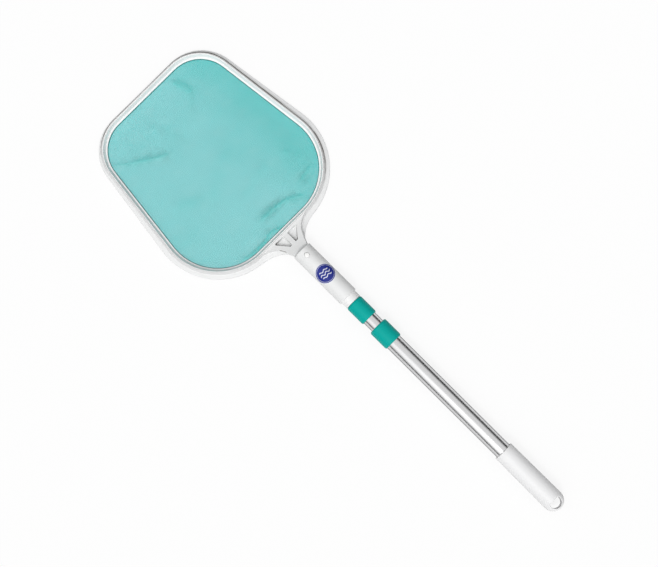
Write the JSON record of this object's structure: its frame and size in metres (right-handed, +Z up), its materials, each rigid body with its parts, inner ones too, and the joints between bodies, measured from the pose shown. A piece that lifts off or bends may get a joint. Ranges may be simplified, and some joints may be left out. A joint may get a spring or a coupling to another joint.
{
  "type": "leaf skimmer net",
  "caption": "Flat leaf skimmer: a framed fine net on a telescopic pole with twist locks, a snap button and a grip with a hanging hole.",
  "frame": {"origin": "centre of the object's footprint, on the floor that the head frame and the grip rest on", "axes": "+Y along the pole from the grip to the leading edge of the head, +Z up out of the net, +X to the right seen from above with the head away"},
  "size_m": [0.2852, 0.8428, 0.0318],
  "materials": {
    "head_plastic": "injection moulded, fine satin, white",
    "ring_plastic": "injection moulded, fine satin, white",
    "net_mesh": "fine woven nylon mesh, light turquoise",
    "label_film": "printed vinyl film, dark blue",
    "adapter_plastic": "injection moulded, satin, white",
    "button_plastic": "moulded, polished, white",
    "spring_steel": "spring steel strip",
    "tube_aluminium": "drawn and anodised, satin",
    "lock_nylon_dark": "glass-filled nylon, dark grey",
    "lock_nylon_light": "natural nylon",
    "screw_steel": "zinc-plated steel",
    "collar_plastic": "moulded, satin, teal",
    "grip_plastic": "moulded, satin, white"
  },
  "bodies": {
    "outer_section": {"outer_tube": "tube_aluminium", "lower_collar": "collar_plastic", "grip": "grip_plastic"},
    "lower_lock": {"lower_lock_sleeve": "lock_nylon_light"},
    "lower_cone": {"lower_lock_cone": "lock_nylon_dark"},
    "middle_section": {"middle_tube": "tube_aluminium", "upper_collar": "collar_plastic", "lower_lock_plug": "lock_nylon_dark", "lower_lock_screw": "screw_steel"},
    "upper_lock": {"upper_lock_sleeve": "lock_nylon_light"},
    "upper_cone": {"upper_lock_cone": "lock_nylon_dark"},
    "head_section": {"head_frame": "head_plastic", "retaining_ring": "ring_plastic", "net": "net_mesh", "label": "label_film", "pole_adapter": "adapter_plastic", "inner_tube": "tube_aluminium", "upper_lock_plug": "lock_nylon_dark", "upper_lock_screw": "screw_steel", "snap_spring": "spring_steel"},
    "snap_button": {"snap_button": "button_plastic"}
  },
  "joints": [
    {"name": "lower_slide", "type": "slide", "parent": "outer_section", "child": "lower_lock", "axis": [0, 1, 0], "range_m": [-0.0157, 0.2332]},
    {"name": "lower_twist", "type": "hinge", "parent": "lower_lock", "child": "middle_section", "pos_m": [0, -0.35465, 0.0157], "axis": [0, 1, 0], "range_deg": [0, 120]},
    {"name": "lower_cone_draw", "type": "slide", "parent": "lower_lock", "child": "lower_cone", "axis": [0, -1, 0], "range_m": [0, 0.001]},
    {"name": "upper_slide", "type": "slide", "parent": "middle_section", "child": "upper_lock", "axis": [0, 1, 0], "range_m": [0, 0.2277]},
    {"name": "upper_twist", "type": "hinge", "parent": "upper_lock", "child": "head_section", "pos_m": [0, -0.30165, 0.0157], "axis": [0, 1, 0], "range_deg": [0, 120]},
    {"name": "upper_cone_draw", "type": "slide", "parent": "upper_lock", "child": "upper_cone", "axis": [0, -1, 0], "range_m": [0, 0.001]},
    {"name": "snap_press", "type": "slide", "parent": "head_section", "child": "snap_button", "axis": [0, 0, -1], "range_m": [0, 0.0033], "stiffness_N_per_m": 800, "springref_m": -0.002, "deforming": ["snap_spring"]}
  ],
  "couplings": [
    {"joint": "lower_cone_draw", "follows": "lower_twist", "m_per_rad": 0.000477},
    {"joint": "upper_cone_draw", "follows": "upper_twist", "m_per_rad": 0.000477}
  ]
}
